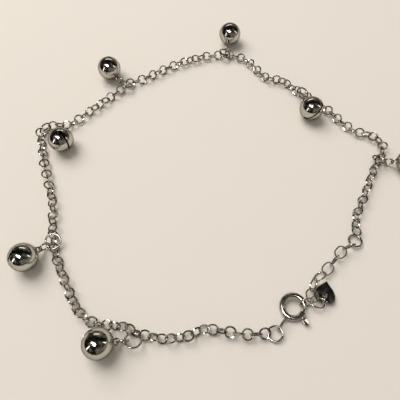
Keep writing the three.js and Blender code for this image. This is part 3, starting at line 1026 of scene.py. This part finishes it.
# ---- Stage -----------------------------------------------------------------------------------
def aim(item, target):
    item.rotation_euler = (target - item.location).to_track_quat("-Z", "Y").to_euler()


def soft_light(name, location, size, power, mirrored):
    """An area light aimed at the anklet.

    A `mirrored` one shows in the metal and doesn't light the floor. The others do the reverse."""
    lamp = bpy.data.lights.new(name, "AREA")
    lamp.shape = "RECTANGLE"
    lamp.size = size[0]
    lamp.size_y = size[1]
    lamp.energy = power
    lamp.color = WARM
    item = bpy.data.objects.new(name, lamp)
    item.location = location
    item.visible_glossy = mirrored
    item.visible_diffuse = not mirrored
    bpy.context.collection.objects.link(item)
    aim(item, Vector((0, 0, 0)))


def room_world(stage):
    """A dim mottled room for the metal to mirror, and an even fill for the surface."""
    world = bpy.data.worlds.new("dim_room")
    world.use_nodes = True
    tree = world.node_tree
    fill = tree.nodes["Background"]
    fill.inputs["Color"].default_value = (*WARM, 1)
    fill.inputs["Strength"].default_value = stage.fill
    direction = node(tree, "ShaderNodeTexCoord").outputs["Generated"]
    mottle = noise(tree, direction, 1.5, 4)
    shades = node(tree, "ShaderNodeValToRGB")
    shades.color_ramp.elements[0].position = 0.46
    shades.color_ramp.elements[0].color = (0.08, 0.07, 0.05, 1)
    shades.color_ramp.elements[1].position = 0.70
    shades.color_ramp.elements[1].color = (3.4, 3.2, 2.7, 1)
    tree.links.new(mottle.outputs["Fac"], shades.inputs["Fac"])
    room = node(tree, "ShaderNodeBackground")
    room.inputs["Strength"].default_value = stage.room
    tree.links.new(shades.outputs["Color"], room.inputs["Color"])
    ray = node(tree, "ShaderNodeLightPath")
    mix = node(tree, "ShaderNodeMixShader")
    tree.links.new(ray.outputs["Is Glossy Ray"], mix.inputs[0])
    tree.links.new(fill.outputs[0], mix.inputs[1])
    tree.links.new(room.outputs[0], mix.inputs[2])
    tree.links.new(mix.outputs[0], tree.nodes["World Output"].inputs["Surface"])
    return world


def floor_material(tint):
    """A matt pale board, very slightly mottled."""
    material = bpy.data.materials.new("pale_board")
    material.use_nodes = True
    tree = material.node_tree
    shader = tree.nodes["Principled BSDF"]
    shader.inputs["Roughness"].default_value = 0.85
    shader.inputs["Specular IOR Level"].default_value = 0.15
    where = node(tree, "ShaderNodeTexCoord").outputs["Object"]
    grain = noise(tree, where, 60, 3)
    ramp = node(tree, "ShaderNodeValToRGB")
    ramp.color_ramp.elements[0].color = [*(c * 0.985 for c in tint), 1]
    ramp.color_ramp.elements[1].color = [*tint, 1]
    tree.links.new(grain.outputs["Fac"], ramp.inputs["Fac"])
    tree.links.new(ramp.outputs["Color"], shader.inputs["Base Color"])
    return material


class ANKLET_OT_stage(bpy.types.Operator):
    """Build the floor, the soft lights and the camera"""
    bl_idname = "anklet.stage"
    bl_label = "Stage"

    def execute(self, context):
        scene = context.scene
        stage = scene.anklet_stage
        deselect()
        bpy.ops.mesh.primitive_plane_add(size=stage.floor_size)
        floor = context.object
        floor.name = "floor"
        floor.data.materials.append(floor_material(tuple(stage.floor)))

        scene.view_settings.view_transform = "Standard"
        scene.world = room_world(stage)
        soft_light("key", KEY_PLACE, KEY_SIZE, stage.key_power, mirrored=False)
        for name, light in GLINTS.items():
            power = stage.glint_power * light["share"]
            soft_light(name, light["place"], light["size"], power, mirrored=True)

        camera = bpy.data.objects.new("camera", bpy.data.cameras.new("camera"))
        camera.data.angle = stage.camera_angle
        camera.data.clip_start = CAMERA_NEAREST
        camera.location = CAMERA_PLACE
        context.collection.objects.link(camera)
        aim(camera, CAMERA_TARGET)
        scene.camera = camera
        return {"FINISHED"}


class ANKLET_PT_panel(bpy.types.Panel):
    """Lists the anklet's groups of pieces"""
    bl_idname = "ANKLET_PT_panel"
    bl_label = "Payal anklet"
    bl_space_type = "VIEW_3D"
    bl_region_type = "UI"
    bl_category = "Anklet"

    def draw(self, context):
        for settings in SETTINGS:
            group = getattr(context.scene, settings)
            box = self.layout.box()
            for name in group.bl_rna.properties.keys():
                if name not in ("rna_type", "name"):
                    box.prop(group, name)
        for operator in OPERATORS:
            self.layout.operator(operator.bl_idname)


SETTINGS = {
    "anklet_chain": AnkletChainSettings,
    "anklet_rings": AnkletRingSettings,
    "anklet_bell": AnkletBellSettings,
    "anklet_clasp": AnkletClaspSettings,
    "anklet_finish": AnkletFinishSettings,
    "anklet_stage": AnkletStageSettings,
}
OPERATORS = [
    ANKLET_OT_stage,
    ANKLET_OT_chain,
    ANKLET_OT_tail,
    ANKLET_OT_rings,
    ANKLET_OT_bells,
    ANKLET_OT_clasp,
    ANKLET_OT_trigger,
    ANKLET_OT_tag,
]


def register():
    for item in [*SETTINGS.values(), *OPERATORS, ANKLET_PT_panel]:
        bpy.utils.register_class(item)
    for name, settings in SETTINGS.items():
        setattr(bpy.types.Scene, name, PointerProperty(type=settings))


def unregister():
    for name in SETTINGS:
        delattr(bpy.types.Scene, name)
    for item in reversed([*SETTINGS.values(), *OPERATORS, ANKLET_PT_panel]):
        bpy.utils.unregister_class(item)


def main():
    register()
    bpy.ops.anklet.stage()
    bpy.ops.anklet.chain()
    bpy.ops.anklet.tail()
    bpy.ops.anklet.rings()
    bpy.ops.anklet.bells()
    bpy.ops.anklet.clasp()
    bpy.ops.anklet.trigger()
    bpy.ops.anklet.tag()
    deselect()


if __name__ == "__main__":
    main()
